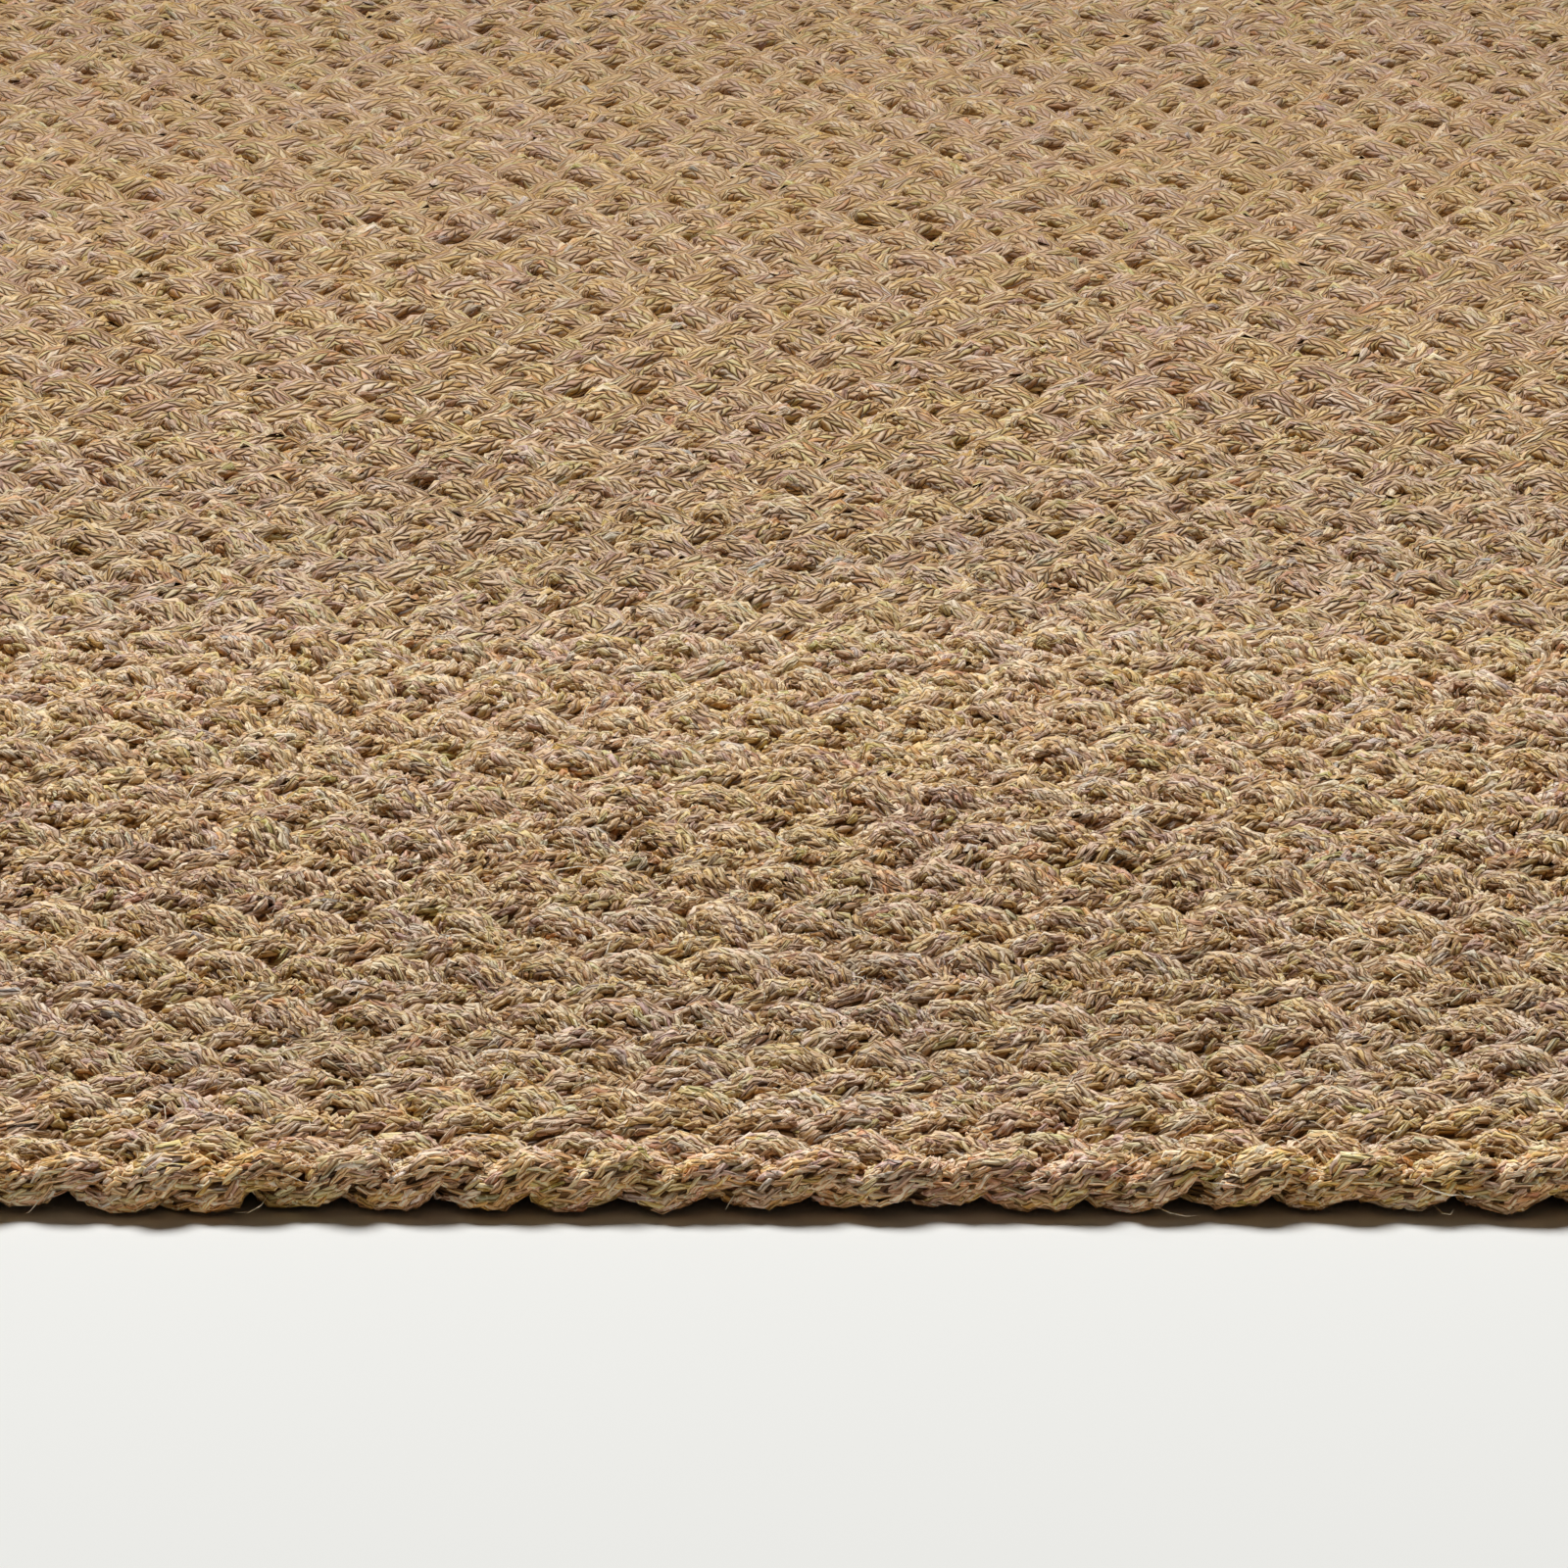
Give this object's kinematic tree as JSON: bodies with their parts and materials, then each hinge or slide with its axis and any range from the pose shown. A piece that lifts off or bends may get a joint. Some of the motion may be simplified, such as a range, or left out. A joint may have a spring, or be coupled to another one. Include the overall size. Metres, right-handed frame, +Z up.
{
  "type": "braided outdoor rug",
  "caption": "Flat rectangular outdoor rug of soft corded braids laid side by side in straight rows, with the same braid running round its edge and rounded corners.",
  "frame": {"origin": "middle of the rug, on the surface it lies on", "axes": "+X along the rows of braid, +Y along the rug's length, +Z up out of its upper face"},
  "size_m": [0.6, 1, 0.0105],
  "materials": {
    "braid": "soft braided cord of mixed beige, ochre, mauve-grey and cream yarns, matt",
    "edge_braid": "the same braided cord, matt"
  },
  "bodies": {
    "root": {"braid_rows": "braid", "edge_braid": "edge_braid"}
  },
  "joints": []
}
